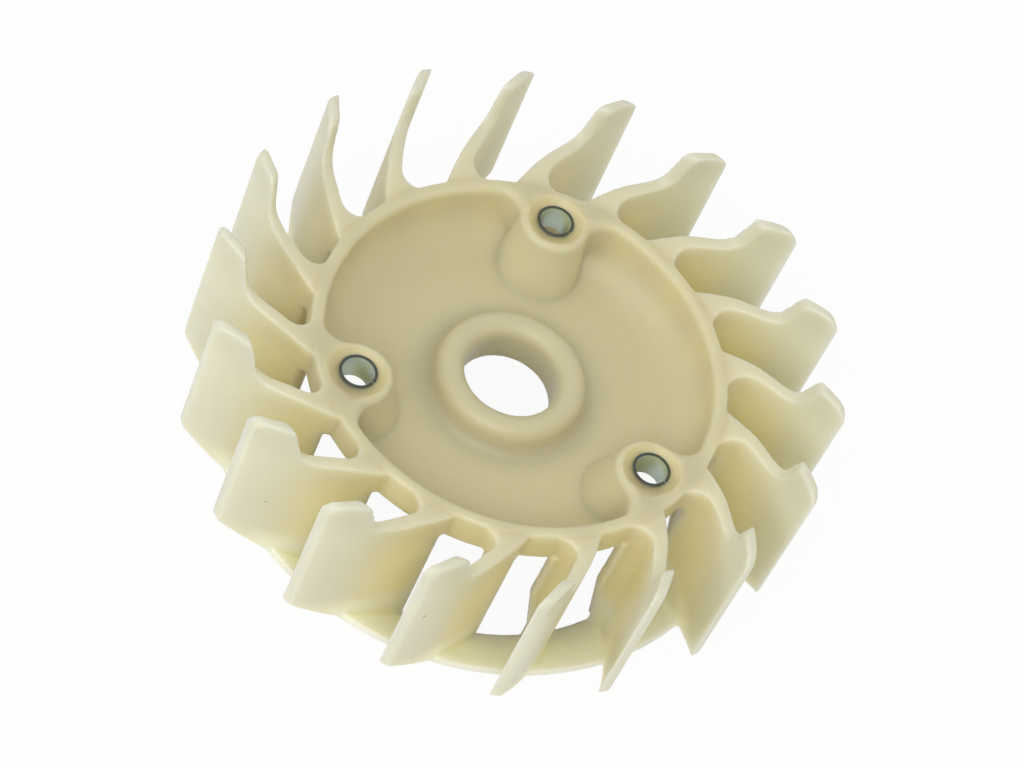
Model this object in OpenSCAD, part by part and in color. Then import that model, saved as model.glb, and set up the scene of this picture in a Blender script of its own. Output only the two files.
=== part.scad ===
// Centrifugal cooling fan wheel of a small air-cooled engine: one nylon moulding with eighteen
// curved blades between an open dish and a conical ring, and three rolled steel sleeves.
// The wheel stands on the ring, so z = 0 is the ring's flat land and z rises to the blade tabs.

/* [Wheel] */
// Diameter over the blade tips
wheel_d = 132.8; // [128:0.2:140]
// Number of blades, a multiple of the three bosses
blade_count = 18; // [15:3:21]
// Height of the dish's rim above the ring's land
rim_z = 40; // [38:0.5:44]
// Height of the blade tabs above the rim
tab_h = 11; // [8:0.2:14]

/* [Dish] */
// Outer diameter of the dish's wall
dish_d = 88.2; // [87:0.2:89]
// Thickness of the dish's wall at the rim
wall_t = 2.8; // [2.2:0.1:3.2]
// Height of the short outer wall below the rim
wall_h = 8; // [7:0.5:10]
// Depth from the rim to the dish's floor
dish_depth = 13.3; // [12:0.1:14.5]
// Inside radius between the dish's wall and its floor
bowl_r = 9.3; // [7:0.1:10]
// Thickness of the dish's floor
floor_t = 2.3; // [2:0.1:3]
// Rounding of the rim's inner edge
rim_round = 1.3; // [0.6:0.1:1.6]

/* [Hub collar] */
// Diameter of the centre hole
hub_bore_d = 20; // [17:0.2:22]
// Width of the rounded collar around the hole
collar_w = 6; // [5:0.2:7]
// Height of the collar's crest above the floor
collar_h = 6.6; // [5:0.2:8]
// How far the collar reaches below the floor's underside
collar_drop = 1.1; // [0.5:0.1:3]
// Radius of the hollow at the collar's foot
collar_foot_r = 3.4; // [2:0.2:3.6]

/* [Blades] */
// Radius in plan of each blade's leading face
blade_arc_r = 61.5; // [55:0.5:75]
// Angle by which a blade's root leads its tip
blade_sweep = 19.9; // [16:0.2:23]
// Blade thickness at the tip
tip_t = 1.5; // [1.4:0.1:2.2]
// Blade thickness at the root
root_t = 3.1; // [2.4:0.1:3.6]
// Angle from a boss to the blade tip that trails it
blade_phase = 6.5; // [6:0.1:9]
// Fillet at the root on a blade's hollow side
root_fillet = 3.6; // [2:0.2:4.4]
// Fillet at the root on a blade's leading side
lead_fillet = 0.8; // [0.5:0.1:1.4]
// Rise of a blade's top edge above the rim, inboard of the tab
shelf_h = 1.7; // [1:0.1:3]
// Width of the tab along the top
tab_w = 6; // [5:0.1:7.5]
// Run of the slope between the shelf and the tab
tab_slope_w = 2.3; // [1.5:0.1:3]

/* [Ring] */
// Inner diameter of the ring
ring_inner_d = 89.2; // [89.2:0.2:90]
// Outer diameter of the ring
ring_outer_d = 115.8; // [112:0.2:118]
// Height of the ring's outer edge above its land
ring_rise = 8.5; // [7:0.1:10]
// Thickness of the ring, measured upright
ring_t = 2; // [1.6:0.1:2.4]
// Width of the flat land under the ring's inner edge
land_w = 1; // [0.8:0.1:1.6]

/* [Bosses and sleeves] */
// Diameter of the circle through the bosses
bolt_circle_d = 72; // [71:0.2:72.4]
// Diameter of a boss at the rim
boss_d = 15; // [14.4:0.2:16]
// How much wider a boss is at the dish's floor, on each side
boss_flare = 1.6; // [1:0.1:2]
// Lean of a boss's foot towards the hub
boss_lean = 12; // [6:0.5:14]
// Fillet in plan between a boss and the rim
boss_blend_r = 5; // [3:0.2:6]
// Outer diameter of a steel sleeve
sleeve_d = 8; // [7.6:0.1:8.6]
// Wall of a steel sleeve
sleeve_t = 0.6; // [0.5:0.05:0.8]
// Length of a steel sleeve
sleeve_l = 6.6; // [5:0.1:7.5]
// Width of the slit where a sleeve's ends meet
slit_w = 0.35; // [0.2:0.05:0.5]
// Diameter of the shallow recess around a sleeve
recess_d = 12; // [10:0.2:12.6]
// Depth of that recess
recess_h = 0.2; // [0.1:0.05:0.4]
// Diameter of the pocket where it meets the sleeve
pocket_d = 12.2; // [11.4:0.2:12.4]
// Width that a boss's wall keeps around the pocket, at the foot
pocket_wall = 1.8; // [1.6:0.1:2.2]

/* [Root webs] */
// Angle that a web covers, back from its blade's root
web_angle = 11.8; // [9:0.1:12.5]
// Angle that is left of it at the ring
web_foot_angle = 6.6; // [5:0.1:7.5]
// Depth below the rim at which a web starts to narrow
web_depth = 21.6; // [14:0.2:25]
// Thickness of a web
web_t = 2.2; // [1.5:0.1:2.6]

/* [Hidden] */
$fn = 96;

// Small overlaps that let joined shapes run into each other
bite = 0.9;
web_lap = 0.7;
// Depth below the rim at which a boss starts to widen
boss_top = 2.2;
far = 200;

wheel_r = wheel_d / 2;
dish_r = dish_d / 2;
rim_in_r = dish_r - wall_t;
floor_z = rim_z - dish_depth;
under_z = floor_z - floor_t;
wall_z = rim_z - wall_h;
bowl_c = [rim_in_r - bowl_r, floor_z + bowl_r];

hub_r = hub_bore_d / 2;
collar_c = [hub_r + collar_w / 2, floor_z + collar_h - collar_w / 2];

ring_in_r = ring_inner_d / 2;
ring_out_r = ring_outer_d / 2;
ring_slope = ring_rise / (ring_out_r - ring_in_r - land_w);

boss_count = 3;
boss_r = boss_d / 2;
bolt_r = bolt_circle_d / 2;
pitch = 360 / blade_count;

// Where the straight sleeves' slits point, one angle for each sleeve
slit_angles = [-28, -24, -31];

// Plain vector helpers
function unit(v) = v / norm(v);
function polar(r, a) = [r * cos(a), r * sin(a)];

// Where two circles in the plane meet, on the left (side = 1) or right (-1) of the line c1 to c2
function circles_meet(c1, r1, c2, r2, side) =
    let (d = norm(c2 - c1), u = (c2 - c1) / d,
         a = (d * d + r1 * r1 - r2 * r2) / (2 * d), h = sqrt(r1 * r1 - a * a))
    c1 + a * u + side * h * [-u[1], u[0]];

// Points along an arc about c, from angle a0 to angle a1 in n equal steps
function arc(c, r, a0, a1, n) = [for (i = [0 : n]) c + polar(r, a0 + (a1 - a0) * i / n)];
function bearing(v) = atan2(v[1], v[0]);

// Points of the arc of radius r that rounds the corner p, on the way from a through p to b
function rounded(a, p, b, r, n = 5) =
    let (u = unit(a - p), v = unit(b - p), half = acos(u * v) / 2,
         c = p + unit(u + v) * r / sin(half),
         a0 = bearing(p + u * r / tan(half) - c), turn = bearing(p + v * r / tan(half) - c) - a0,
         a1 = a0 + (turn > 180 ? turn - 360 : turn < -180 ? turn + 360 : turn))
    arc(c, r, a0, a1, n);

// A blade's leading face is an arc through its tip and its root. The hollow face is a second arc,
// placed so that the blade thins steadily from root to tip.
tip_p = [wheel_r, 0];
root_p = polar(dish_r, blade_sweep);
lead_c = circles_meet(tip_p, blade_arc_r, root_p, blade_arc_r, 1);
tip_n = unit(tip_p - lead_c);
root_n = unit(root_p - lead_c);
thin_u = unit(tip_n - root_n);
thin_s = (root_t - tip_t) / norm(tip_n - root_n);
hollow_c = lead_c + thin_s * thin_u;
hollow_r = blade_arc_r - tip_t - thin_s * (thin_u * tip_n);
// Angle about the axis that the tip's thickness covers
tip_a = 2 * asin(tip_t / cos(bearing(tip_n)) / 2 / wheel_r);

// Centres of the fillets where a blade's two faces meet the dish's wall. They end just inside
// the wall, so that the faces cross.
fillet_end_r = dish_r - 0.08;
hollow_fc = circles_meet([0, 0], fillet_end_r + root_fillet, hollow_c, hollow_r - root_fillet, 1);
lead_fc = circles_meet([0, 0], fillet_end_r + lead_fillet, lead_c, blade_arc_r + lead_fillet, 1);

// Half section of the dish: a short outer wall, a bowl and a floor, with a rounded collar around
// the hole
module dish() {
    under_r = bowl_r + floor_t;
    wall_corner = [dish_r, rim_z];
    lip_corner = [rim_in_r, rim_z];
    collar_out = hub_r + collar_w;
    foot = [collar_out, floor_z];
    wall_run = asin((wall_z - bowl_c[1]) / under_r);
    rotate_extrude()
        polygon(concat(
            [[hub_r, under_z - collar_drop], [collar_out, under_z - collar_drop]],
            [[collar_out + 1, under_z]],
            arc(bowl_c, under_r, -90, wall_run, 8),
            [[dish_r, wall_z]],
            rounded([dish_r, wall_z], wall_corner, lip_corner, 0.5, 3),
            rounded(wall_corner, lip_corner, [rim_in_r, bowl_c[1]], rim_round),
            arc(bowl_c, bowl_r, 0, -90, 12),
            rounded(bowl_c - [0, bowl_r], foot, [collar_out, rim_z], collar_foot_r),
            arc(collar_c, collar_w / 2, 0, 180, 16)
        ));
}

// Half section of the conical ring, with its flat land at the inner edge
module ring() {
    rotate_extrude()
        polygon([
            [ring_in_r, 0],
            [ring_in_r + land_w, 0],
            [ring_out_r, ring_rise],
            [ring_out_r, ring_rise + ring_t],
            [ring_in_r, ring_t]
        ]);
}

// Plan of one blade with its root fillets. The tip lies on the x axis.
module blade_plan() {
    lead_a = bearing(lead_fc - lead_c);
    hollow_a = bearing(hollow_fc - hollow_c);
    deep_r = dish_r - bite;
    polygon(concat(
        [polar(deep_r, bearing(hollow_fc)), polar(deep_r, bearing(lead_fc))],
        arc(lead_fc, lead_fillet, bearing(lead_fc) + 180, lead_a + 180, 4),
        arc(lead_c, blade_arc_r, lead_a, bearing(tip_n), 9),
        arc(hollow_c, hollow_r, bearing(polar(wheel_r, -tip_a) - hollow_c), hollow_a, 9),
        arc(hollow_fc, root_fillet, hollow_a, bearing(hollow_fc) + 180, 5)
    ));
}

// Outline of a blade seen from the side, as the region that the blades are cut to when it turns
// about the axis: a shelf near the rim, a raised tab at the tip and a foot that follows the ring.
module blade_outline() {
    shelf_z = rim_z + shelf_h;
    tab_z = rim_z + tab_h;
    tab_in = [wheel_r - tab_w, tab_z];
    tab_out = [wheel_r, tab_z];
    slope_foot = [tab_in[0] - tab_slope_w, shelf_z];
    foot_lift = 0.3;
    foot_in_r = ring_in_r + 0.4;
    foot_out = [wheel_r, (wheel_r - ring_in_r - land_w) * ring_slope + foot_lift];
    foot_bend = [ring_in_r + land_w, foot_lift];
    shelf_in = [dish_r - bite, rim_z - 0.6];
    shelf_mid = [dish_r + 6, shelf_z - 0.4];
    polygon(concat(
        [[foot_in_r, foot_lift], foot_bend],
        rounded(foot_bend, foot_out, tab_out, 0.9, 3),
        rounded(foot_out, tab_out, tab_in, 2.4),
        rounded(tab_out, tab_in, slope_foot, 1.6, 4),
        rounded(tab_in, slope_foot, shelf_mid, 3.6),
        [shelf_mid, shelf_in, [dish_r - bite, wall_z + 1], [foot_in_r, wall_z + 1]]
    ));
}

module blades() {
    intersection() {
        linear_extrude(rim_z + tab_h + 1)
            for (i = [0 : blade_count - 1])
                rotate(90 - blade_phase + i * pitch) blade_plan();
        rotate_extrude() blade_outline();
    }
}

// Web behind a blade's root, below the dish's wall. It narrows towards the ring and its top runs
// into the roots above.
module root_web() {
    top_z = wall_z + 1.6;
    root_a = blade_sweep;
    top_x = dish_r * tan(web_angle);
    foot_x = dish_r * tan(web_foot_angle);
    intersection() {
        difference() {
            cylinder(h = top_z, r = ring_in_r + web_lap);
            translate([0, 0, -1]) cylinder(h = far, r = ring_in_r + web_lap - web_t);
        }
        rotate(root_a) rotate([90, 0, 90])
            linear_extrude(far)
                polygon([
                    [-top_x, top_z],
                    [-top_x, rim_z - web_depth],
                    [-foot_x, ring_t - 0.5],
                    [-2, ring_t - 0.5],
                    [-2, top_z]
                ]);
    }
}

// The two blades behind each boss carry a web
module webs() {
    for (i = [0 : boss_count - 1])
        for (j = [-2 : -1])
            rotate(90 - blade_phase + i * 360 / boss_count + j * pitch) root_web();
}

// Plan of a boss on the x axis, blended into the rim on both sides
module boss_plan() {
    wall_r = rim_in_r + 0.9;
    centre = [bolt_r, 0];
    c = circles_meet([0, 0], wall_r - boss_blend_r, centre, boss_r + boss_blend_r, 1);
    wall_a = bearing(c);
    boss_a = bearing(c - centre);
    near = arc(c, boss_blend_r, wall_a, boss_a - 180, 6);
    polygon(concat(
        near,
        arc(centre, boss_r, boss_a, 360 - boss_a, 16),
        [for (i = [len(near) - 1 : -1 : 0]) [near[i][0], -near[i][1]]],
        [polar(dish_r + 1, -wall_a), polar(dish_r + 1, wall_a)]
    ));
}

// A boss widens from the rim to the dish's floor, and its foot leans towards the hub
module boss() {
    depth = dish_depth - boss_top;
    long = depth + 4;
    translate([0, 0, wall_z]) linear_extrude(wall_h) boss_plan();
    intersection() {
        translate([bolt_r, 0, rim_z - boss_top]) rotate([0, boss_lean, 0]) translate([0, 0, -long])
            cylinder(h = long, r1 = boss_r + boss_flare * long / depth, r2 = boss_r);
        translate([0, 0, floor_z - floor_t / 2]) cylinder(h = far, r = dish_r);
    }
}

// What is taken out of a boss: the sleeve's seat, the recess around it and the pocket below,
// which flares like the boss
module boss_bores() {
    pocket_z = rim_z - sleeve_l;
    pocket_r = pocket_d / 2;
    mouth_r = boss_r + boss_flare - pocket_wall;
    grow = (mouth_r - pocket_r) / (pocket_z - floor_z);
    translate([bolt_r, 0, 0]) cylinder(h = far, d = sleeve_d);
    translate([bolt_r, 0, rim_z - recess_h]) cylinder(h = 5, d = recess_d);
    intersection() {
        translate([bolt_r, 0, 0])
            rotate_extrude()
                polygon([
                    [0, pocket_z],
                    [pocket_r, pocket_z],
                    [pocket_r + grow * (pocket_z - under_z + 5), under_z - 5],
                    [0, under_z - 5]
                ]);
        cylinder(h = far, r = rim_in_r + 0.9);
    }
}

module impeller() {
    color("ivory") difference() {
        union() {
            dish();
            ring();
            blades();
            webs();
            intersection() {
                for (i = [0 : boss_count - 1])
                    rotate(90 + i * 360 / boss_count) boss();
                union() {
                    cylinder(h = far, r = rim_in_r + 0.4);
                    translate([0, 0, wall_z + 0.5]) cylinder(h = far, r = dish_r - 0.05);
                }
            }
        }
        for (i = [0 : boss_count - 1])
            rotate(90 + i * 360 / boss_count) boss_bores();
    }
}

// A sleeve rolled from strip, with a slit along its whole length
module sleeve(i) {
    a = 90 + i * 360 / boss_count;
    color("dimgray")
        translate([bolt_r * cos(a), bolt_r * sin(a), rim_z - sleeve_l])
            difference() {
                cylinder(h = sleeve_l, d = sleeve_d);
                translate([0, 0, -1]) cylinder(h = sleeve_l + 2, d = sleeve_d - 2 * sleeve_t);
                rotate(slit_angles[i]) translate([0, -slit_w / 2, -1])
                    cube([sleeve_d, slit_w, sleeve_l + 2]);
            }
}

module sleeve_1() { sleeve(0); }
module sleeve_2() { sleeve(1); }
module sleeve_3() { sleeve(2); }

impeller();
sleeve_1();
sleeve_2();
sleeve_3();
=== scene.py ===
# %% [markdown]
# A centrifugal fan wheel for a small air-cooled engine: one moulding in uncoloured nylon, with
# three rolled steel sleeves pressed into it. The sizes come from the finished part, so the lesson
# is about turning exact sizes into a moulding with soft edges, and about nylon that lets some
# light through. We load the part first, because every piece here has to land where it is.

# %% Load the part
import bpy
import bmesh
import math
import numpy as np
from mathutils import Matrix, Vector


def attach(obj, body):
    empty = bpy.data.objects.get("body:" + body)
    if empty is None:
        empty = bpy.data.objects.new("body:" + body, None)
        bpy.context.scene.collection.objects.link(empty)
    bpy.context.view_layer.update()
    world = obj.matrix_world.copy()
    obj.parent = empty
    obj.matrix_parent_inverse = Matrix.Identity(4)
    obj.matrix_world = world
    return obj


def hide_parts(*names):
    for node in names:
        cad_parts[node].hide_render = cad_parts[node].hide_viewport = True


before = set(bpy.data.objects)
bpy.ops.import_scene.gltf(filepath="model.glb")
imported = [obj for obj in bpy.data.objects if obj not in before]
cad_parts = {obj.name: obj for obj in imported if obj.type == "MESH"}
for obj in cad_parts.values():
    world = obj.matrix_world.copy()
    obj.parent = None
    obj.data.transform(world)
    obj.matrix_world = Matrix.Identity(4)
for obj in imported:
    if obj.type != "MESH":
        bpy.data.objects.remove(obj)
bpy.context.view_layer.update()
print("nodes:", sorted(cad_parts))

# %% [markdown]
# The camera comes next, as everything is judged through it. The wheel stands on its ring and the
# camera looks down on the open dish from about fifty degrees, with a long lens and the camera
# rolled, which is why the wheel seems to lean in the picture.

# %% Camera
CAMERA_AT = (-0.06819, -0.41450, 0.56738)
CAMERA_TURN = (35.0135, -15.6733, 11.6310)
LENS_MM = 116.23

camera = bpy.data.objects.new("camera", bpy.data.cameras.new("camera"))
camera.data.lens = LENS_MM
camera.data.sensor_width = 36
camera.data.clip_start = 0.01
camera.location = CAMERA_AT
camera.rotation_euler = [math.radians(a) for a in CAMERA_TURN]
bpy.context.scene.collection.objects.link(camera)
bpy.context.scene.camera = camera
print("camera at", CAMERA_AT, "with a lens of", LENS_MM, "mm")

# %% [markdown]
# The sizes of the real wheel, in millimetres. Each is written once, and the shapes below are
# worked out from them, so that a blade and the wall that it grows from always meet. The three
# spares, and blades a little thicker than the part's, make up for what smoothing takes off later.

# %% Sizes in millimetres
WHEEL_R = 66.4
BLADES = 18
RIM_Z = 40.0
TAB_H = 11.0
DISH_R = 44.1
WALL_T = 2.8
WALL_H = 8.0
DISH_DEPTH = 13.3
BOWL_R = 9.3
FLOOR_T = 2.3
RIM_ROUND = 1.3
RIM_OUT_ROUND = 0.5
HUB_R = 10.0
COLLAR_W = 6.0
COLLAR_H = 6.6
COLLAR_DROP = 1.1
COLLAR_FOOT_R = 3.4
BLADE_ARC_R = 61.5
BLADE_SWEEP = 19.9
TIP_T = 1.8
ROOT_T = 3.3
BLADE_PHASE = 6.5
ROOT_FILLET = 3.6
LEAD_FILLET = 0.8
SHELF_H = 1.7
TAB_W = 6.0
TAB_SLOPE_W = 2.3
TAB_FOOT_ROUND = 3.6
TAB_IN_ROUND = 1.6
TAB_OUT_ROUND = 2.4
FOOT_ROUND = 0.9
FOOT_SINK = 0.3
TIP_SPARE = 0.15
SHELF_SPARE = 0.1
TAB_SPARE = 0.2
BITE = 0.9
RING_IN_R = 44.6
RING_OUT_R = 57.9
RING_RISE = 8.5
RING_T = 2.0
LAND_W = 1.0
BOLT_R = 36.0
BOSS_R = 7.5
BOSS_FLARE = 1.6
BOSS_LEAN = 12.0
BOSS_TOP = 2.2
BOSS_ROUND = 1.6
BLEND_R = 5.0
SLEEVE_R = 4.0
SLEEVE_L = 6.6
RECESS_R = 6.0
RECESS_H = 0.2
POCKET_R = 6.1
POCKET_FOOT_R = 8.4
POCKET_MOUTH_R = 10.1
POCKET_LEAN = 1.2
POCKET_LIMIT_R = 41.7
WEB_ANGLE = 11.8
WEB_FOOT_ANGLE = 6.6
WEB_ROOT_ANGLE = 2.6
WEB_DEPTH = 21.6
WEB_T = 2.2
WEB_LAP = 0.7
WEB_TOP = 1.6

FLOOR_Z = RIM_Z - DISH_DEPTH
UNDER_Z = FLOOR_Z - FLOOR_T
WALL_Z = RIM_Z - WALL_H
RIM_IN_R = DISH_R - WALL_T
MM = 0.001
print("dish floor at", FLOOR_Z, "mm, its underside at", UNDER_Z, "mm")

# %% [markdown]
# The plan of the wheel is all arcs that touch each other. A few small helpers are enough: a point
# at a radius and an angle and back again, the meeting point of two circles, and the points along
# an arc. A corner is rounded with an arc as well.

# %% Helpers for arcs
def polar(r, a):
    return np.array([r * math.cos(math.radians(a)), r * math.sin(math.radians(a))])


def bearing(v):
    return math.degrees(math.atan2(v[1], v[0]))


def unit(v):
    return np.asarray(v, float) / np.linalg.norm(v)


def circles_meet(c1, r1, c2, r2):
    c1, c2 = np.asarray(c1, float), np.asarray(c2, float)
    d = np.linalg.norm(c2 - c1)
    u = (c2 - c1) / d
    a = (d * d + r1 * r1 - r2 * r2) / (2 * d)
    return c1 + a * u + math.sqrt(r1 * r1 - a * a) * np.array([-u[1], u[0]])


def arc(c, r, a0, a1, n):
    return [np.asarray(c) + polar(r, a0 + (a1 - a0) * i / n) for i in range(n + 1)]


def rounded(a, p, b, r, n=8):
    a, p, b = (np.asarray(q, float) for q in (a, p, b))
    u, v = unit(a - p), unit(b - p)
    half = math.acos(float(np.clip(u @ v, -1, 1))) / 2
    c = p + unit(u + v) * r / math.sin(half)
    a0 = bearing(p + u * r / math.tan(half) - c)
    turn = bearing(p + v * r / math.tan(half) - c) - a0
    turn = (turn + 180) % 360 - 180
    return arc(c, r, a0, a0 + turn, n)


# %% [markdown]
# Two ways of making a closed solid cover the whole wheel. A lathe turns a half section about the
# axis, for the dish and the ring. A loft joins two rails of points, each with its own lower and
# upper height, for a blade or a web, which are thin strips standing upright.

# %% Lathe and loft
def new_object(name, verts, faces):
    mesh = bpy.data.meshes.new(name)
    mesh.from_pydata([tuple(c * MM for c in v) for v in verts], [], faces)
    mesh.update()
    b = bmesh.new()
    b.from_mesh(mesh)
    bmesh.ops.recalc_face_normals(b, faces=b.faces)
    b.to_mesh(mesh)
    b.free()
    obj = bpy.data.objects.new(name, mesh)
    bpy.context.scene.collection.objects.link(obj)
    return obj


def lathe(name, section, segments=240, centre=(0, 0)):
    n, verts, faces = len(section), [], []
    for k in range(segments):
        c, s = math.cos(2 * math.pi * k / segments), math.sin(2 * math.pi * k / segments)
        verts += [(centre[0] + p[0] * c, centre[1] + p[0] * s, p[1]) for p in section]
    for k in range(segments):
        a, b = k * n, (k + 1) % segments * n
        faces += [(a + i, a + (i + 1) % n, b + (i + 1) % n, b + i) for i in range(n)]
    return new_object(name, verts, faces)


def loft(name, rail_a, rail_b, low, high):
    verts, faces = [], []
    for a, b in zip(rail_a, rail_b):
        verts += [(*a, low(a)), (*a, high(a)), (*b, high(b)), (*b, low(b))]
    for k in range(len(rail_a) - 1):
        a, b = 4 * k, 4 * k + 4
        faces += [(a + i, a + (i + 1) % 4, b + (i + 1) % 4, b + i) for i in range(4)]
    last = 4 * (len(rail_a) - 1)
    faces += [(0, 1, 2, 3), (last + 3, last + 2, last + 1, last)]
    return new_object(name, verts, faces)


def even(points, n):
    points = np.array(points)
    run = np.r_[0, np.cumsum(np.linalg.norm(np.diff(points, axis=0), axis=1))]
    at = np.linspace(0, run[-1], n)
    return np.c_[np.interp(at, run, points[:, 0]), np.interp(at, run, points[:, 1])]


# %% [markdown]
# The dish is the hub. Its section is a short upright wall, a bowl and a floor, and around the
# centre hole the floor swells into a rounded collar. The ring under the blades is a shallow cone.

# %% Dish and ring
bowl_c = np.array([RIM_IN_R - BOWL_R, FLOOR_Z + BOWL_R])
collar_out = HUB_R + COLLAR_W
collar_c = np.array([HUB_R + COLLAR_W / 2, FLOOR_Z + COLLAR_H - COLLAR_W / 2])
under_r = BOWL_R + FLOOR_T
wall_run = math.degrees(math.asin((WALL_Z - bowl_c[1]) / under_r))
dish_section = (
    [(HUB_R, UNDER_Z - COLLAR_DROP), (collar_out, UNDER_Z - COLLAR_DROP), (collar_out + 1, UNDER_Z)]
    + arc(bowl_c, under_r, -90, wall_run, 16)
    + [(DISH_R, WALL_Z)]
    + rounded((DISH_R, WALL_Z), (DISH_R, RIM_Z), (RIM_IN_R, RIM_Z), RIM_OUT_ROUND, 4)
    + rounded((DISH_R, RIM_Z), (RIM_IN_R, RIM_Z), (RIM_IN_R, bowl_c[1]), RIM_ROUND)
    + arc(bowl_c, BOWL_R, 0, -90, 24)
    + rounded(bowl_c - [0, BOWL_R], (collar_out, FLOOR_Z), (collar_out, RIM_Z), COLLAR_FOOT_R)
    + arc(collar_c, COLLAR_W / 2, 0, 180, 24)
)
dish = lathe("dish", dish_section)
ring = lathe("ring", [(RING_IN_R, 0), (RING_IN_R + LAND_W, 0), (RING_OUT_R, RING_RISE),
                      (RING_OUT_R, RING_RISE + RING_T), (RING_IN_R, RING_T)])
print("dish:", len(dish.data.polygons), "faces, ring:", len(ring.data.polygons), "faces")

# %% [markdown]
# A blade's leading face is one arc from tip to root, and its hollow face is a second arc, set so
# that the blade thins steadily towards the tip. Both faces run into the dish's wall through
# fillets of their own.

# %% Faces of a blade
tip_p, root_p = np.array([WHEEL_R + TIP_SPARE, 0]), polar(DISH_R, BLADE_SWEEP)
lead_c = circles_meet(tip_p, BLADE_ARC_R, root_p, BLADE_ARC_R)
tip_n, root_n = unit(tip_p - lead_c), unit(root_p - lead_c)
thin_u = unit(tip_n - root_n)
thin_s = (ROOT_T - TIP_T) / np.linalg.norm(tip_n - root_n)
hollow_c = lead_c + thin_s * thin_u
hollow_r = BLADE_ARC_R - TIP_T - thin_s * float(thin_u @ tip_n)
tip_w = TIP_T / math.cos(math.radians(bearing(tip_n)))
tip_a = 2 * math.degrees(math.asin(tip_w / 2 / WHEEL_R))
fillet_foot = DISH_R - 0.08
hollow_fc = circles_meet((0, 0), fillet_foot + ROOT_FILLET, hollow_c, hollow_r - ROOT_FILLET)
lead_fc = circles_meet((0, 0), fillet_foot + LEAD_FILLET, lead_c, BLADE_ARC_R + LEAD_FILLET)
lead_a, hollow_a = bearing(lead_fc - lead_c), bearing(hollow_fc - hollow_c)

lead_rail = (arc(lead_c, BLADE_ARC_R, bearing(tip_n), lead_a, 40)
             + arc(lead_fc, LEAD_FILLET, lead_a + 180, bearing(lead_fc) + 180, 8)[1:]
             + [polar(DISH_R - BITE, bearing(lead_fc))])
hollow_rail = (arc(hollow_c, hollow_r, bearing(polar(WHEEL_R, -tip_a) - hollow_c), hollow_a, 40)
               + arc(hollow_fc, ROOT_FILLET, hollow_a, bearing(hollow_fc) + 180, 8)[1:]
               + [polar(DISH_R - BITE, bearing(hollow_fc))])
print("blade thickness at tip and root:", TIP_T, ROOT_T, "mm")

# %% [markdown]
# The outline of a blade from the side is two lines over the radius: the top, with its shelf, its
# slope and its tab, and the foot, which lies in the ring and then rises with it.

# %% Outline of a blade
shelf_z, tab_z = RIM_Z + SHELF_H + SHELF_SPARE, RIM_Z + TAB_H + TAB_SPARE
tab_in, tab_out = (WHEEL_R - TAB_W, tab_z), (WHEEL_R, tab_z)
slope_foot, shelf_mid = (tab_in[0] - TAB_SLOPE_W, shelf_z), (DISH_R + 6, shelf_z - 0.4)
slope = RING_RISE / (RING_OUT_R - RING_IN_R - LAND_W)
foot_out = (WHEEL_R, (WHEEL_R - RING_IN_R - LAND_W) * slope + FOOT_SINK)
foot_in, foot_mid = (RING_IN_R + 0.4, FOOT_SINK), (RING_IN_R + LAND_W, FOOT_SINK)
top_line = np.array([(DISH_R - BITE, RIM_Z - 0.6), shelf_mid]
                    + rounded(shelf_mid, slope_foot, tab_in, TAB_FOOT_ROUND)
                    + rounded(slope_foot, tab_in, tab_out, TAB_IN_ROUND)
                    + rounded(tab_in, tab_out, foot_out, TAB_OUT_ROUND))
foot_line = np.array([foot_in, foot_mid] + rounded(foot_mid, foot_out, tab_out, FOOT_ROUND))


def top_z(p):
    return float(np.interp(np.linalg.norm(p), top_line[:, 0], top_line[:, 1]))


def foot_z(p):
    return float(np.interp(np.linalg.norm(p), foot_line[:, 0], foot_line[:, 1]))


def outside(rail, r):
    return [p for p in rail if np.linalg.norm(p) >= r]


root_block = loft("root block", even(lead_rail, 90), even(hollow_rail, 90),
                  lambda p: WALL_Z + 1, top_z)
blade_sheet = loft("blade sheet", even(outside(lead_rail, foot_in[0]), 90),
                   even(outside(hollow_rail, foot_in[0]), 90), foot_z, top_z)
print("tab from", round(tab_in[0], 1), "to", tab_out[0], "mm, at", round(tab_z, 1), "mm")

# %% [markdown]
# Two more helpers are for meshes that already exist. One puts several pieces into one mesh. The
# other replaces an object that has modifiers by the plain mesh that they give.

# %% Join and settle
def join(name, *objects):
    b = bmesh.new()
    for obj in objects:
        b.from_mesh(obj.data)
    mesh = bpy.data.meshes.new(name)
    b.to_mesh(mesh)
    b.free()
    for obj in objects:
        bpy.data.objects.remove(obj)
    out = bpy.data.objects.new(name, mesh)
    bpy.context.scene.collection.objects.link(out)
    return out


def settle(obj):
    """Turns an object with modifiers into a plain mesh."""
    bpy.context.view_layer.update()
    mesh = bpy.data.meshes.new_from_object(obj.evaluated_get(bpy.context.evaluated_depsgraph_get()))
    obj.modifiers.clear()
    obj.data = mesh
    return obj


# %% [markdown]
# Eighteen equal blades stand around the axis, so Geometry Nodes place them: a point for each
# blade, an instance turned by its index, and a real mesh at the end. The tree takes the number of
# blades and the first blade's angle as named inputs, and the webs and bosses use it as well.

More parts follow.
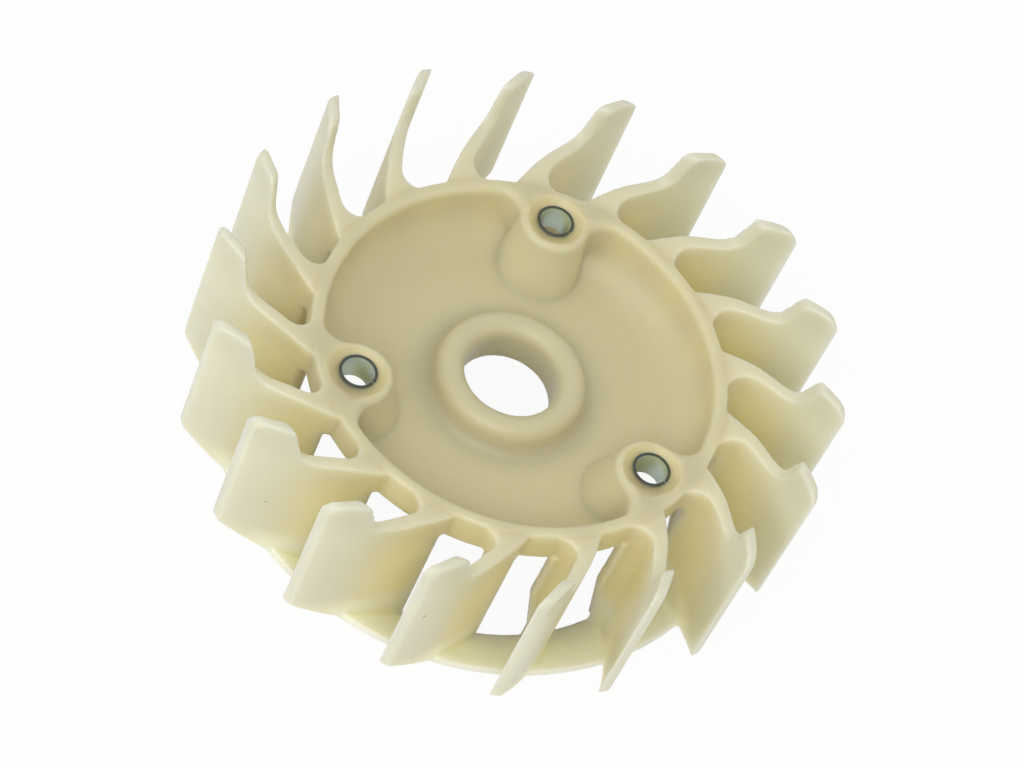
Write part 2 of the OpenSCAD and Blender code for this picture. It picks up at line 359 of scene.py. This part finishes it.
# %% Blade row tree
def row_tree():
    tree = bpy.data.node_groups.new("row around the axis", "GeometryNodeTree")
    face = tree.interface
    face.new_socket("Geometry", in_out="INPUT", socket_type="NodeSocketGeometry")
    face.new_socket("Count", in_out="INPUT", socket_type="NodeSocketInt")
    face.new_socket("First angle", in_out="INPUT", socket_type="NodeSocketFloat")
    face.new_socket("Finish", in_out="INPUT", socket_type="NodeSocketMaterial")
    face.new_socket("Geometry", in_out="OUTPUT", socket_type="NodeSocketGeometry")
    new, link = tree.nodes.new, tree.links.new
    given, out = new("NodeGroupInput"), new("NodeGroupOutput")
    points, index = new("GeometryNodePoints"), new("GeometryNodeInputIndex")
    full, step, turn = new("ShaderNodeMath"), new("ShaderNodeMath"), new("ShaderNodeMath")
    full.operation, full.inputs[0].default_value = "DIVIDE", 2 * math.pi
    step.operation, turn.operation = "MULTIPLY", "ADD"
    euler, place = new("ShaderNodeCombineXYZ"), new("GeometryNodeInstanceOnPoints")
    real, paint = new("GeometryNodeRealizeInstances"), new("GeometryNodeSetMaterial")
    link(given.outputs["Count"], points.inputs["Count"])
    link(given.outputs["Count"], full.inputs[1])
    link(index.outputs[0], step.inputs[0])
    link(full.outputs[0], step.inputs[1])
    link(step.outputs[0], turn.inputs[0])
    link(given.outputs["First angle"], turn.inputs[1])
    link(turn.outputs[0], euler.inputs["Z"])
    link(points.outputs[0], place.inputs["Points"])
    link(given.outputs["Geometry"], place.inputs["Instance"])
    link(euler.outputs[0], place.inputs["Rotation"])
    link(place.outputs[0], real.inputs[0])
    link(real.outputs[0], paint.inputs["Geometry"])
    link(given.outputs["Finish"], paint.inputs["Material"])
    link(paint.outputs[0], out.inputs[0])
    return tree


ROW = row_tree()
nylon = bpy.data.materials.new("natural nylon")


def row(obj, count, first_angle, finish):
    nodes = obj.modifiers.new("row", "NODES")
    nodes.node_group = ROW
    ids = {s.name: s.identifier for s in ROW.interface.items_tree if s.in_out == "INPUT"}
    nodes[ids["Count"]] = count
    nodes[ids["First angle"]] = math.radians(first_angle)
    nodes[ids["Finish"]] = finish
    return settle(obj)


blades = row(join("blades", root_block, blade_sheet), BLADES, 90 - BLADE_PHASE, nylon)
print("blade row:", len(blades.data.polygons), "faces")

# %% [markdown]
# Below the wall, the passages beside each boss are partly closed by a web that runs back from a
# blade's root. A web is a strip of a cylinder whose lower edge slopes down to the ring.

# %% Webs
web_x = [-DISH_R * math.tan(math.radians(a)) for a in (WEB_ANGLE, WEB_FOOT_ANGLE)]


def web_low(p):
    x = DISH_R * math.tan(math.radians(bearing(p) - BLADE_SWEEP))
    return float(np.interp(x, web_x, [RIM_Z - WEB_DEPTH, RING_T - 0.5]))


web_angles = np.linspace(BLADE_SWEEP - WEB_ANGLE, BLADE_SWEEP - WEB_ROOT_ANGLE, 30)
near_web = loft("near webs", [polar(RING_IN_R + WEB_LAP, a) for a in web_angles],
                [polar(RING_IN_R + WEB_LAP - WEB_T, a) for a in web_angles],
                web_low, lambda p: WALL_Z + WEB_TOP)
far_web = near_web.copy()
far_web.data = near_web.data.copy()
bpy.context.scene.collection.objects.link(far_web)
row(near_web, 3, 90 - BLADE_PHASE - 360 / BLADES, nylon)
row(far_web, 3, 90 - BLADE_PHASE - 2 * 360 / BLADES, nylon)
print("webs:", len(near_web.data.polygons) + len(far_web.data.polygons), "faces")

# %% [markdown]
# Each boss is a round head that flows into the rim through two hollow curves, on a post that
# widens downwards and leans towards the hub. Both are stacks of slices joined by a skin: the
# head's top slices step inwards to round its edge, and the post's are slices of a leaning cone.

# %% Bosses
def rings_skin(name, rings):
    n = len(rings[0])
    verts = [v for ring_points in rings for v in ring_points]
    faces = [(k * n + i, k * n + (i + 1) % n, (k + 1) * n + (i + 1) % n, (k + 1) * n + i)
             for k in range(len(rings) - 1) for i in range(n)]
    faces += [tuple(range(n)), tuple(reversed(range(len(verts) - n, len(verts))))]
    return new_object(name, verts, faces)


def post_slice(z):
    drop = RIM_Z - BOSS_TOP - z
    r = BOSS_R + BOSS_FLARE * drop / (DISH_DEPTH - BOSS_TOP)
    x = BOLT_R - drop * math.tan(math.radians(BOSS_LEAN))
    points = [np.array([x, 0]) + polar(r, 360 * k / 96) for k in range(96)]
    return [(*(q * min(1, (DISH_R - 0.5) / np.linalg.norm(q))), z) for q in points]


blend_c = circles_meet((0, 0), RIM_IN_R + 0.15 - BLEND_R, (BOLT_R, 0), BOSS_R + BLEND_R)
blend_side = bearing(blend_c)
boss_side = bearing(blend_c - np.array([BOLT_R, 0]))


def head_slice(z, inset):
    half = even(arc((BOLT_R, 0), BOSS_R - inset, 180.5, boss_side, 24)
                + arc(blend_c, BLEND_R + inset, boss_side - 180, blend_side, 16)
                + [polar(DISH_R - 0.4, blend_side)], 60)
    back = arc((0, 0), DISH_R - 0.4, blend_side, -blend_side, 24)[1:-1]
    points = [*half, *back, *(half * [1, -1])[::-1]]
    if z < WALL_Z:
        limit = bowl_c[0] + math.sqrt(under_r ** 2 - (bowl_c[1] - z) ** 2) - 0.5
        points = [q * min(1, limit / np.linalg.norm(q)) for q in points]
    return [(*q, z) for q in points]


heights = [(z, 0) for z in (27.2, 28, 29, 30, 31, 31.9, WALL_Z + 0.1, RIM_Z - BOSS_ROUND - 1)]
heights += [(RIM_Z - BOSS_ROUND * (1 - math.sin(t)), BOSS_ROUND * (1 - math.cos(t)))
            for t in np.linspace(0, math.pi / 2, 7)]
head = rings_skin("head", [head_slice(z, inset) for z, inset in heights])
post_heights = np.linspace(FLOOR_Z - FLOOR_T / 2, RIM_Z - 1, 12)
post = rings_skin("post", [post_slice(z) for z in post_heights])
bosses = row(join("bosses", head, post), 3, 90, nylon)
print("bosses:", len(bosses.data.polygons), "faces")

# %% [markdown]
# Real mouldings have no sharp corners. The pieces overlap, so a voxel remesh joins them into one
# skin, and smoothing passes round every edge and fill every inner corner. The dish gets many
# passes and the thin blades fewer, or their edges would shrink. A last step swells the skin by a
# hair, for what smoothing takes off, and keeps the ring's foot flat on the floor.

# %% One skin
VOXEL = 0.28 * MM
SWELL = 0.06 * MM
PASSES, DISH_PASSES = 16, 20
TRIANGLES = 188000

wheel = join("wheel", dish, ring, blades, near_web, far_web, bosses)
fuse = wheel.modifiers.new("fuse", "REMESH")
fuse.mode, fuse.voxel_size, fuse.use_smooth_shade = "VOXEL", VOXEL, True
settle(wheel)
print("skin:", len(wheel.data.polygons), "faces")


# %% [markdown]
# The dish's points are found by their place and put in a group of their own, because the second
# smoothing works on them alone.

# %% Soft edges
def spots(obj):
    numbers = np.empty(3 * len(obj.data.vertices))
    obj.data.vertices.foreach_get("co", numbers)
    return numbers.reshape(-1, 3)


at = spots(wheel) / MM
in_dish = (np.hypot(at[:, 0], at[:, 1]) < DISH_R - 0.6) & (at[:, 2] > UNDER_Z - 2)
dish_group = wheel.vertex_groups.new(name="dish")
dish_group.add(np.flatnonzero(in_dish).tolist(), 1.0, "REPLACE")
for name, passes, group in (("soften", PASSES, ""), ("soften dish", DISH_PASSES, "dish")):
    soften = wheel.modifiers.new(name, "SMOOTH")
    soften.factor, soften.iterations, soften.vertex_group = 0.5, passes, group
swell = wheel.modifiers.new("swell", "DISPLACE")
swell.strength, swell.mid_level = SWELL, 0
thin = wheel.modifiers.new("thin", "DECIMATE")
thin.ratio = TRIANGLES / (2 * len(wheel.data.polygons))
settle(wheel)
at = spots(wheel)
at[:, 2] = np.maximum(at[:, 2], 0)
wheel.data.vertices.foreach_set("co", at.ravel())
print("softened skin:", len(wheel.data.polygons), "faces")

# %% [markdown]
# The bores are cut after the smoothing, because their edges are crisp on the real wheel: the seat
# of the sleeve, a shallow recess around it and, below, a wider pocket for the head of the bolt.
# The pocket stays inside the dish's wall.

# %% Bores
seat_z, past, axis = RIM_Z - SLEEVE_L, 5, 0.01
bore_section = [
    (axis, UNDER_Z - past), (POCKET_MOUTH_R, UNDER_Z - past), (POCKET_MOUTH_R, UNDER_Z),
    (POCKET_FOOT_R, FLOOR_Z), (POCKET_R, seat_z), (SLEEVE_R, seat_z),
    (SLEEVE_R, RIM_Z - RECESS_H), (RECESS_R, RIM_Z - RECESS_H),
    (RECESS_R, RIM_Z + past), (axis, RIM_Z + past)]
bore = lathe("bores", bore_section, 96, (BOLT_R, 0))
pocket_top, wall_limit = seat_z * MM, POCKET_LIMIT_R * MM
for v in bore.data.vertices:
    if v.co.z < pocket_top - 0.1 * MM:
        v.co.x -= POCKET_LEAN * MM * min(1, (pocket_top - v.co.z) / (pocket_top - FLOOR_Z * MM))
    reach = math.hypot(v.co.x, v.co.y)
    if v.co.z < pocket_top + 0.1 * MM and reach > wall_limit:
        v.co.x, v.co.y = v.co.x * wall_limit / reach, v.co.y * wall_limit / reach
bores = row(bore, 3, 90, nylon)
cut = wheel.modifiers.new("bores", "BOOLEAN")
cut.operation, cut.solver, cut.object = "DIFFERENCE", "EXACT", bores
settle(wheel)
bpy.data.objects.remove(bores)
wheel.data.materials.clear()
wheel.data.materials.append(nylon)
wheel.data.polygons.foreach_set("use_smooth", [True] * len(wheel.data.polygons))
print("wheel:", sum(len(p.vertices) - 2 for p in wheel.data.polygons), "triangles")
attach(wheel, "root")
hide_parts("impeller")

# %% [markdown]
# A sleeve is a strip of thin steel rolled into a tube whose ends nearly meet. We take the part's
# own sleeves, merge their loose triangles and break their edges with a small bevel.

# %% Sleeves
steel = bpy.data.materials.new("rolled steel")


def rolled_sleeve(node):
    b = bmesh.new()
    b.from_mesh(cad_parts[node].data)
    bmesh.ops.remove_doubles(b, verts=b.verts, dist=1e-6)
    bmesh.ops.dissolve_limit(b, angle_limit=math.radians(1), verts=b.verts, edges=b.edges)
    mesh = bpy.data.meshes.new("rolled " + node)
    b.to_mesh(mesh)
    b.free()
    obj = bpy.data.objects.new("rolled_" + node, mesh)
    bpy.context.scene.collection.objects.link(obj)
    edge = obj.modifiers.new("edge", "BEVEL")
    edge.width, edge.segments = 0.1 * MM, 2
    edge.limit_method, edge.angle_limit = "ANGLE", math.radians(40)
    settle(obj)
    obj.data.materials.clear()
    obj.data.materials.append(steel)
    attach(obj, "root")
    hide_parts(node)
    return obj


sleeves = [rolled_sleeve(node) for node in ("sleeve_1", "sleeve_2", "sleeve_3")]
print("sleeves:", [len(sleeve.data.polygons) for sleeve in sleeves], "faces")

# %% [markdown]
# The finishes are written as sums and products, so a small class wraps a socket of a node and
# adds a Math node for each sign. Colours are written as they look on a screen.

# %% Shader helpers
class Value:
    def __init__(self, board, socket):
        self.board, self.socket = board, socket

    def math(self, operation, a, b):
        return self.board.add("ShaderNodeMath", {"operation": operation}, {0: a, 1: b})

    def __add__(self, other):
        return self.math("ADD", self, other)

    def __sub__(self, other):
        return self.math("SUBTRACT", self, other)

    def __mul__(self, other):
        return self.math("MULTIPLY", self, other)

    def clamp(self):
        return self.board.add("ShaderNodeClamp", {}, {0: self})


class Board:
    def __init__(self, material):
        material.use_nodes = True
        self.tree = material.node_tree
        self.tree.nodes.clear()

    def add(self, kind, settings=None, sockets=None, out=0):
        node = self.tree.nodes.new(kind)
        for key, value in (settings or {}).items():
            setattr(node, key, value)
        for key, value in (sockets or {}).items():
            if isinstance(value, Value):
                self.tree.links.new(value.socket, node.inputs[key])
            else:
                node.inputs[key].default_value = value
        return Value(self, node.outputs[out]) if len(node.outputs) else node

    def span(self, value, low, high):
        return self.add("ShaderNodeMapRange", {"interpolation_type": "SMOOTHSTEP"},
                        {"Value": value, "From Min": low, "From Max": high})

    def blend(self, mask, a, b):
        return self.add("ShaderNodeMix", {"data_type": "RGBA"}, {0: mask, 6: a, 7: b}, out=2)

    def noise(self, where, scale, detail=2.0, roughness=0.5):
        return self.add("ShaderNodeTexNoise", {},
                        {"Vector": where, "Scale": scale, "Detail": detail, "Roughness": roughness})


def screen(r, g, b):
    return tuple((c / 255) ** 2.2 for c in (r, g, b)) + (1.0,)


# %% [markdown]
# Uncoloured nylon looks ivory where it is thin and a deeper, warmer yellow where it is thick,
# because light travels inside it. Subsurface scattering gives most of that; the rest is painted
# light and shade in the colour, which follows the place on the wheel, in metres: the height, and
# the distance from the axis.

# %% Nylon: place and patterns
board = Board(nylon)
place = board.add("ShaderNodeTexCoord", out=3)
split = board.add("ShaderNodeSeparateXYZ", sockets={0: place})
side_x, side_y, height = (Value(board, socket) for socket in split.socket.node.outputs)
flat = board.add("ShaderNodeVectorMath", {"operation": "MULTIPLY"}, {0: place, 1: (1, 1, 0)})
radius = board.add("ShaderNodeVectorMath", {"operation": "LENGTH"}, {0: flat}, out=1)

clouds = board.noise(place, 28, 3)
grain = board.noise(place, 1500, 2)
ripple = board.noise(place, 160, 2)

# %% [markdown]
# The colours, nearly all painted light and shade, are laid over each other from the blades inwards:
# the blades, paler and greyer at the tabs (painted shade) and warmer deep by their roots (painted
# shade), the passages between their roots, the feet and the ring painted lighter (painted light),
# and then the dish with its collar and rim in darker tones (painted shade).

# %% Nylon: colour by place
# Painted shade and bounced light: low down by the blade roots the blades turn a warmer yellow; the
# clouds add a random mottle to it.
near_root = board.span(radius, 0.066, 0.048)
below = board.span(height, 0.050, 0.034)
deep_shade_and_mottle = (near_root * below * 0.9 + clouds * 0.2 - 0.08).clamp()
# Painted shade: the blades turn darker and greyer towards their tabs.
upper = board.blend(board.span(height, 0.038, 0.050), screen(203, 202, 184), screen(194, 193, 176))
ivory = board.blend(deep_shade_and_mottle, upper, screen(214, 203, 161))
# Painted light: the passages between the blade roots are painted a brighter warm yellow, as if lit
# through the nylon.
inside = board.span(radius, 0.061, 0.050) * board.span(height, 0.040, 0.027)
ivory = board.blend(inside, ivory, screen(237, 225, 177))
# Painted light: low down, the feet of the blades are painted lighter.
ivory = board.blend(board.span(height, 0.018, 0.009), ivory, screen(226, 219, 186))
# Painted light: the ring is painted pale, as if lit from below through the thin nylon.
ring_glow = board.span(height, 0.018, 0.010) * board.span(radius, 0.063, 0.057)
ivory = board.blend(ring_glow, ivory, screen(250, 242, 208))
# Painted shade: the dish, its collar and its rim are given darker, duller tones than the blades.
hub = board.blend(board.span(radius, 0.024, 0.017), screen(202, 193, 156), screen(190, 184, 152))
hub = board.blend(board.span(height, 0.035, 0.039), hub, screen(197, 190, 156))
ivory = board.blend(board.span(radius, 0.0460, 0.0425) * 0.9, ivory, hub)
print("nylon so far:", len(board.tree.nodes), "shader nodes")

# %% [markdown]
# The steel takes light away from the nylon around it, so a warmer ring of colour is laid there.
# One formula serves all three bosses, because the angle around the axis is wrapped to a third of
# a turn.

# %% Nylon: around the sleeves
angle = board.add("ShaderNodeMath", {"operation": "ARCTAN2"}, {0: side_y, 1: side_x})
turned = board.add("ShaderNodeMath", {"operation": "WRAP"},
                   {0: angle - math.pi / 2, 1: math.pi / 3, 2: -math.pi / 3})
across, along = turned * (BOLT_R * MM), radius - BOLT_R * MM
to_bolt = board.add("ShaderNodeMath", {"operation": "SQRT"}, {0: across * across + along * along})
by_sleeve = board.span(to_bolt, 0.0080, 0.0045) * board.span(height, 0.033, 0.037)
ivory = board.blend(by_sleeve * 0.8, ivory, screen(226, 209, 150))

# %% [markdown]
# A few dark specks are the centres of the cells of a cell pattern, in the cells that a random
# number picks. The surface is half glossy with a very fine relief.

# %% Nylon: specks and surface
cells = board.add("ShaderNodeTexVoronoi", sockets={"Vector": place, "Scale": 75.0})
cell_colour = Value(board, cells.socket.node.outputs["Color"])
cell_pick = board.add("ShaderNodeSeparateXYZ", sockets={0: cell_colour})
speck = board.span(cells, 0.045, 0.025) * board.span(cell_pick, 0.50, 0.53)
skin = board.blend(speck * 0.5, ivory, screen(112, 98, 70))
relief = board.add("ShaderNodeBump", {}, {
    "Strength": 0.3, "Distance": 0.00005, "Height": grain * 0.4 + ripple})
body = board.add("ShaderNodeBsdfPrincipled", {"subsurface_method": "RANDOM_WALK"}, {
    "Base Color": skin,
    "Roughness": clouds * 0.10 + 0.36,
    "Normal": relief,
    "IOR": 1.50,
    "Subsurface Weight": 1.0,
    "Subsurface Radius": (1.0, 0.92, 0.62),
    "Subsurface Scale": 0.009,
})
board.add("ShaderNodeOutputMaterial", sockets={0: body})

# %% [markdown]
# The sleeves are plain strip steel with a dull grey-green bloom inside, a few yellow stains, and
# they are darker at their top ends.

# %% Steel
board = Board(steel)
place = board.add("ShaderNodeTexCoord", out=3)
height = board.add("ShaderNodeSeparateXYZ", sockets={0: place}, out=2)
top_end = board.span(height, 0.0397, 0.0399)
bloom = board.noise(place, 420, 4, 0.6)
stain = board.span(board.noise(place, 190, 2), 0.42, 0.62)
tone = board.blend(bloom, screen(176, 190, 180), screen(214, 226, 214))
tone = board.blend(stain * 0.6, tone, screen(190, 190, 128))
tone = board.blend(top_end * 0.92, tone, screen(52, 56, 50))
relief = board.add("ShaderNodeBump", {}, {"Strength": 0.3, "Distance": 0.00003, "Height": bloom})
body = board.add("ShaderNodeBsdfPrincipled", {}, {
    "Base Color": tone,
    "Metallic": 0.35,
    "Roughness": bloom * 0.25 + 0.25,
    "Normal": relief,
})
board.add("ShaderNodeOutputMaterial", sockets={0: body})

# %% [markdown]
# The wheel stands on a wide white floor. The camera, and the steel's reflections, see the floor
# as nearly white by itself, so that the lamps can stay gentle and the ivory keeps its colour.
# A part of the plain floor stays in, for the wheel's soft shadow.

# %% Floor
bpy.ops.mesh.primitive_plane_add(size=6)
floor = bpy.context.object
floor.name = "floor"
white = bpy.data.materials.new("white floor")
board = Board(white)
matt = board.add("ShaderNodeBsdfDiffuse", sockets={"Color": screen(238, 238, 236)})
glow = board.add("ShaderNodeEmission", sockets={"Color": (1, 1, 1, 1), "Strength": 1.0})
rays = board.add("ShaderNodeLightPath", out=0)
glossy = Value(board, rays.socket.node.outputs["Is Glossy Ray"])
through = Value(board, rays.socket.node.outputs["Is Transmission Ray"])
seen = (rays + glossy + through).clamp() * 0.94
mixed = board.add("ShaderNodeMixShader", sockets={0: seen, 1: matt, 2: glow})
board.add("ShaderNodeOutputMaterial", sockets={0: mixed})
floor.data.materials.append(white)
print("floor:", floor.dimensions[0], "m wide")

# %% [markdown]
# Two large soft lamps and a pale sky make the even light of a product table. The stronger lamp
# stands behind the camera, so it reaches whatever the camera sees between the blades. The other
# stands low on the left, so the dish's own wall keeps the dish's left side a little darker.

# %% Lamps
def lamp(name, at, aim, size, power):
    light = bpy.data.lights.new(name, "AREA")
    light.shape, light.size, light.energy = "DISK", size, power
    obj = bpy.data.objects.new(name, light)
    obj.location = at
    obj.rotation_euler = (Vector(aim) - Vector(at)).to_track_quat("-Z", "Y").to_euler()
    bpy.context.scene.collection.objects.link(obj)


lamp("key", (-0.75, -0.60, 0.42), (0, 0, 0.02), 0.7, 2.4)
lamp("front", (-0.15, -0.95, 1.15), (0, 0, 0.02), 0.9, 7.5)

world = bpy.data.worlds.new("pale sky")
bpy.context.scene.world = world
world.use_nodes = True
world.node_tree.nodes["Background"].inputs[0].default_value = (1, 1, 1, 1)
world.node_tree.nodes["Background"].inputs[1].default_value = 0.70
bpy.context.scene.view_settings.view_transform = "Standard"
